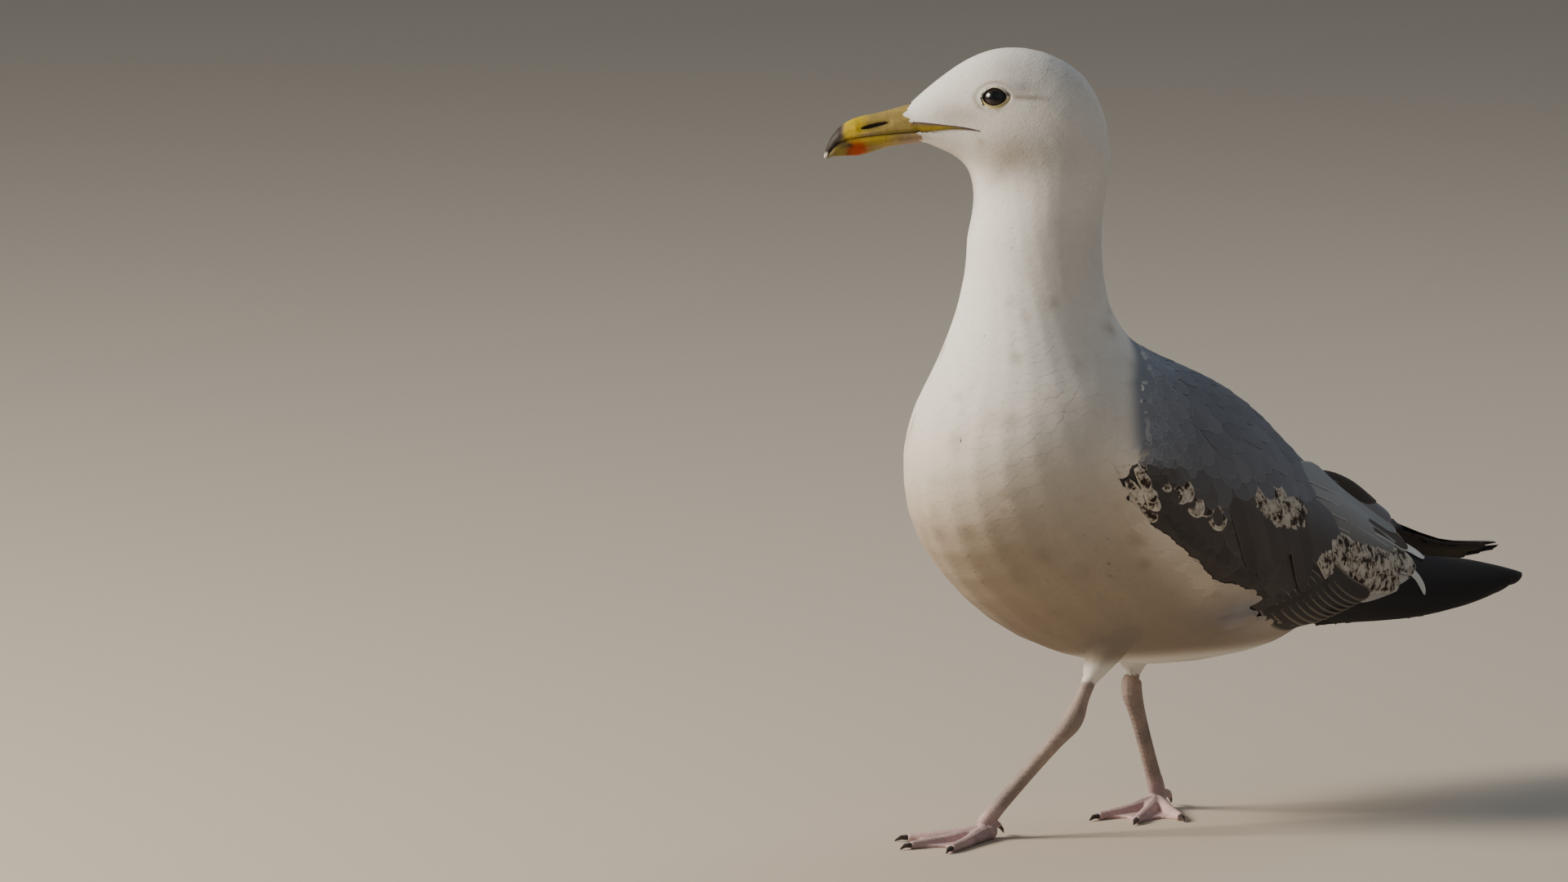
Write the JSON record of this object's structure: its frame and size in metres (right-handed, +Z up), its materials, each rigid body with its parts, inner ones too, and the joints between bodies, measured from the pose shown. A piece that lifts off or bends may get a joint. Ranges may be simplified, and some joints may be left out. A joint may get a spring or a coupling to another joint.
{
  "type": "gull",
  "caption": "Life-size still model of a large white-headed gull in a slow walk, head turned to its right, grey back, mottled wings and webbed feet.",
  "frame": {"origin": "centre of the bird's bounding box on the floor that its soles stand on", "axes": "+Z up, -Y the way the bird walks (beak end), +Y towards the tail, +X the bird's left side"},
  "size_m": [0.164, 0.4396, 0.4038],
  "materials": {
    "white_plumage": "matt",
    "grey_plumage": "matt",
    "mottled_plumage": "matt",
    "flight_plumage": "satin",
    "bill_horn": "satin",
    "eye": "wet gloss",
    "leg_skin": "satin",
    "claw_horn": "satin"
  },
  "bodies": {
    "root": {"bill_lower": "bill_horn", "bill_upper": "bill_horn", "claw_l_hind": "claw_horn", "claw_l_inner": "claw_horn", "claw_l_middle": "claw_horn", "claw_l_outer": "claw_horn", "claw_r_hind": "claw_horn", "claw_r_inner": "claw_horn", "claw_r_middle": "claw_horn", "claw_r_outer": "claw_horn", "eye_l": "eye", "eye_r": "eye", "foot_l": "leg_skin", "foot_r": "leg_skin", "head": "white_plumage", "neck_lower": "white_plumage", "neck_upper": "white_plumage", "shin_l": "leg_skin", "shin_r": "leg_skin", "tail": "flight_plumage", "tarsus_l": "leg_skin", "tarsus_r": "leg_skin", "thigh_l": "white_plumage", "thigh_r": "white_plumage", "trunk": "white_plumage", "wing_l_coverts": "grey_plumage", "wing_l_primaries": "flight_plumage", "wing_l_tertials": "mottled_plumage", "wing_r_coverts": "grey_plumage", "wing_r_primaries": "flight_plumage", "wing_r_tertials": "mottled_plumage"}
  },
  "joints": []
}
